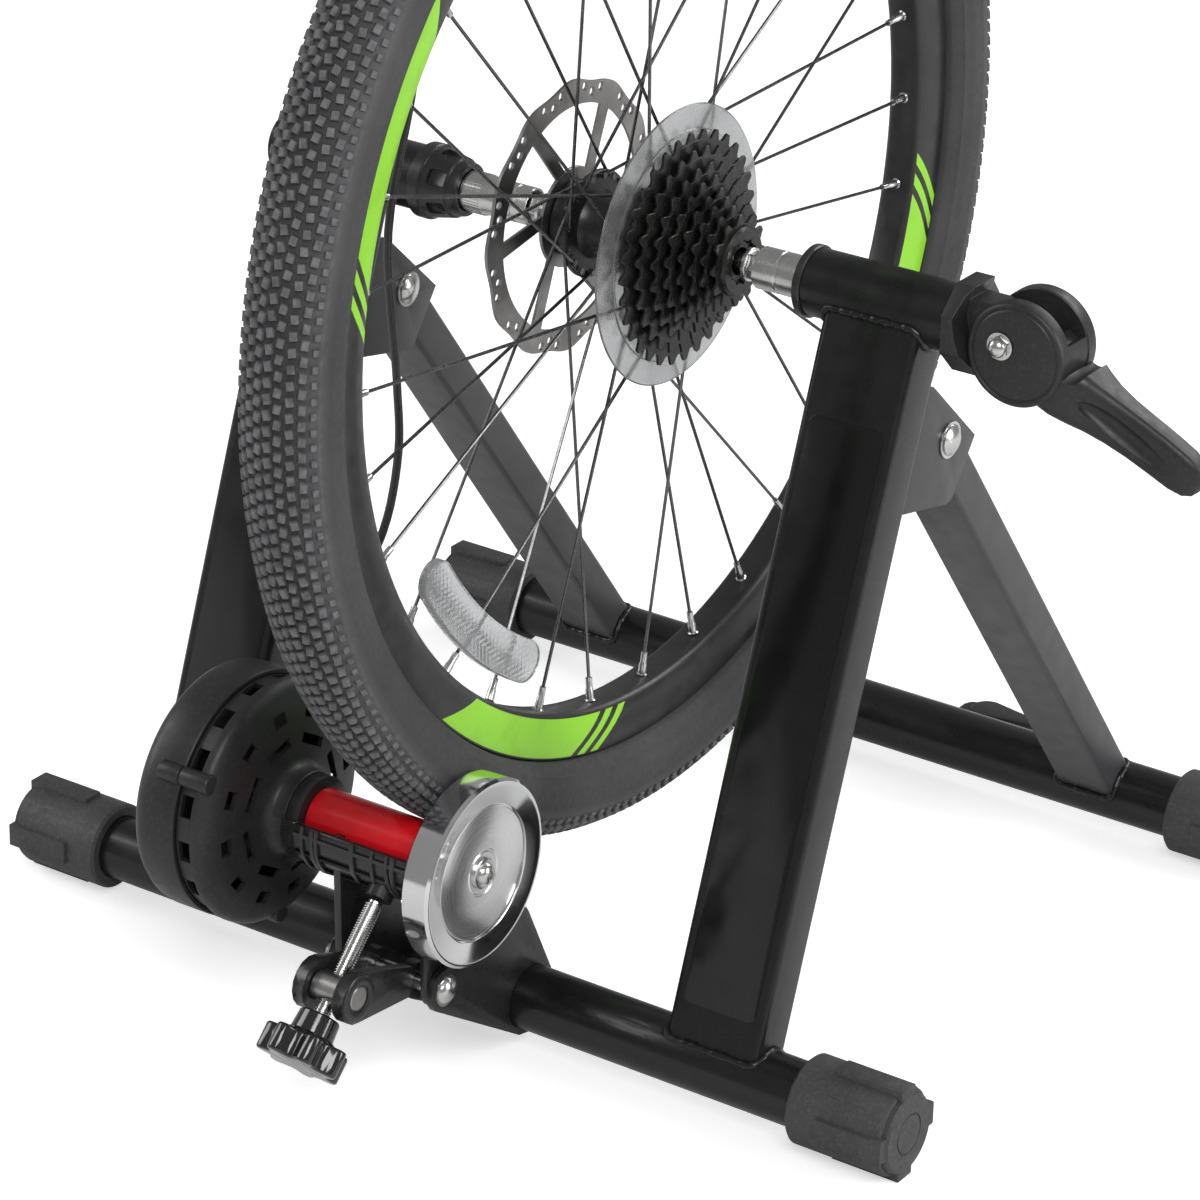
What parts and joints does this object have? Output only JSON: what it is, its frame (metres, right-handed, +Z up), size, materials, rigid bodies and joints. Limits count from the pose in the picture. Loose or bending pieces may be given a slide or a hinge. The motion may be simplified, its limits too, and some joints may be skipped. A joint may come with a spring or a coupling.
{
  "type": "wheel on turbo trainer",
  "caption": "Bicycle rear wheel with sprockets and brake disc, clamped by its axle in a folding magnetic turbo trainer whose roller and flywheel press on the tyre.",
  "frame": {"origin": "on the floor, at the middle of the box round the object without its loose cable and remote", "axes": "+Z up, +Y the way the wheel rolls, +X to the side with the sprockets and the clamp lever"},
  "size_m": [0.6882, 0.704, 0.781],
  "materials": {
    "black_paint": "gloss black powder coat on steel tube and plate",
    "black_plastic": "matt black glass-filled plastic",
    "foot_rubber": "semi-matt black rubber",
    "tyre_rubber": "matt dark grey tread rubber",
    "zinc": "zinc plated steel",
    "chrome": "polished chrome rim with a brushed face",
    "bare_steel": "plain ground steel",
    "black_alloy": "black anodised aluminium",
    "spoke_steel": "black coated spoke wire with silver nipples",
    "red_plastic": "glossy red roller sleeve",
    "knob_plastic": "glossy black moulded knob",
    "clear_plastic": "clear moulded plastic",
    "sprocket_steel": "black oxide steel with worn teeth"
  },
  "bodies": {
    "frame": {"rear_base_tube": "black_paint", "rear_right_foot": "foot_rubber", "rear_left_foot": "foot_rubber", "right_upright": "black_paint", "right_gusset": "black_paint", "right_pivot_bolt": "zinc", "left_upright": "black_paint", "left_gusset": "black_paint", "left_pivot_bolt": "zinc", "right_clamp_tube": "black_paint", "left_clamp_tube": "black_paint", "cam_housing": "black_plastic", "cam_bolt": "zinc", "unit_bracket": "black_paint", "fork_yoke": "black_plastic", "unit_pivot_bolt": "zinc", "axle": "zinc", "remote_cable": "black_plastic", "remote_body": "black_plastic"},
    "front_frame": {"front_base_tube": "black_paint", "front_right_foot": "foot_rubber", "front_left_foot": "foot_rubber", "right_strut": "black_paint", "left_strut": "black_paint"},
    "push_pin": {"push_pin": "zinc"},
    "cam_lever": {"cam_lever": "black_plastic"},
    "lock_collar": {"lock_collar": "black_plastic"},
    "adjusting_screw": {"adjusting_screw": "zinc"},
    "resistance_unit": {"roller_cradle": "black_plastic", "fan_shell_outer": "black_plastic", "fan_shell_inner": "black_plastic", "cable_gland": "black_plastic"},
    "roller": {"roller": "red_plastic", "roller_shaft": "bare_steel", "flywheel": "chrome", "flywheel_bolt": "zinc", "rotor_disc": "bare_steel"},
    "magnets": {"magnet_carrier": "bare_steel"},
    "trunnion": {"trunnion_pin": "zinc"},
    "tension_rod": {"tension_rod": "zinc"},
    "tension_knob": {"tension_knob": "knob_plastic"},
    "wheel": {"tyre": "tyre_rubber", "inner_tube": "foot_rubber", "rim": "black_alloy", "spokes_right": "spoke_steel", "spokes_left": "spoke_steel", "hub_shell": "black_alloy", "brake_disc": "bare_steel", "spoke_guard": "clear_plastic", "reflector": "clear_plastic"},
    "cassette": {"freehub_body": "bare_steel", "sprocket_32": "sprocket_steel", "sprocket_28": "sprocket_steel", "sprocket_24": "sprocket_steel", "sprocket_21": "sprocket_steel", "sprocket_18": "sprocket_steel", "sprocket_16": "sprocket_steel", "sprocket_14": "sprocket_steel", "sprocket_12": "sprocket_steel"},
    "remote_lever": {"remote_thumb_lever": "black_plastic"}
  },
  "joints": [
    {"name": "front_fold", "type": "hinge", "parent": "frame", "child": "front_frame", "pos_m": [-0.0371, 0.03428, 0.3489], "axis": [-1, 0, 0], "range_deg": [0, 55]},
    {"name": "cam_lever_turn", "type": "hinge", "parent": "frame", "child": "cam_lever", "pos_m": [0.22889, 0, 0.436], "axis": [0, -1, 0], "range_deg": [0, 100]},
    {"name": "push_pin_slide", "type": "slide", "parent": "frame", "child": "push_pin", "axis": [1, 0, 0], "range_m": [0, 0.0101]},
    {"name": "collar_turn", "type": "hinge", "parent": "frame", "child": "lock_collar", "pos_m": [-0.13911, 0, 0.436], "axis": [-1, 0, 0], "range_deg": [0, 1080.1]},
    {"name": "screw_slide", "type": "slide", "parent": "frame", "child": "adjusting_screw", "axis": [-1, 0, 0], "range_m": [0, 0.006]},
    {"name": "unit_swing", "type": "hinge", "parent": "frame", "child": "resistance_unit", "pos_m": [-0.0171, -0.22196, 0.068], "axis": [1, 0, 0], "range_deg": [0, 7.35]},
    {"name": "trunnion_turn", "type": "hinge", "parent": "frame", "child": "trunnion", "pos_m": [-0.0171, -0.27596, 0.081], "axis": [1, 0, 0], "range_deg": [0, 3.47]},
    {"name": "tension_rod_slide", "type": "slide", "parent": "trunnion", "child": "tension_rod", "axis": [0, -0.7133, -0.7008], "range_m": [0, 0.00602]},
    {"name": "tension_knob_turn", "type": "hinge", "parent": "tension_rod", "child": "tension_knob", "pos_m": [-0.0171, -0.27596, 0.081], "axis": [0, -0.7133, -0.7008], "range_deg": [0, 1440]},
    {"name": "roller_spin", "type": "hinge", "parent": "resistance_unit", "child": "roller", "pos_m": [-0.00911, -0.21296, 0.14289], "axis": [1, 0, 0], "continuous": true},
    {"name": "magnet_turn", "type": "hinge", "parent": "resistance_unit", "child": "magnets", "pos_m": [-0.14611, -0.21296, 0.14289], "axis": [1, 0, 0], "range_deg": [0, 24.1]},
    {"name": "remote_lever_turn", "type": "hinge", "parent": "frame", "child": "remote_lever", "pos_m": [0.0322, 0.346, 0.012], "axis": [0, 0, 1], "range_deg": [0, 90]},
    {"name": "wheel_spin", "type": "hinge", "parent": "frame", "child": "wheel", "pos_m": [-0.00911, 0, 0.436], "axis": [1, 0, 0], "continuous": true},
    {"name": "cassette_spin", "type": "hinge", "parent": "wheel", "child": "cassette", "pos_m": [0.03089, 0, 0.436], "axis": [1, 0, 0], "continuous": true}
  ],
  "couplings": [
    {"joint": "push_pin_slide", "follows": "cam_lever_turn", "m_per_rad": 0.0057296},
    {"joint": "collar_turn", "follows": "screw_slide", "rad_per_m": 3141.6},
    {"joint": "tension_rod_slide", "follows": "tension_knob_turn", "m_per_rad": 0.00023873},
    {"joint": "unit_swing", "follows": "tension_knob_turn", "ratio": 0.0050668},
    {"joint": "trunnion_turn", "follows": "tension_knob_turn", "ratio": 0.0023729},
    {"joint": "magnet_turn", "follows": "remote_lever_turn", "ratio": 0.2667},
    {"joint": "roller_spin", "follows": "wheel_spin", "ratio": -20.294}
  ]
}
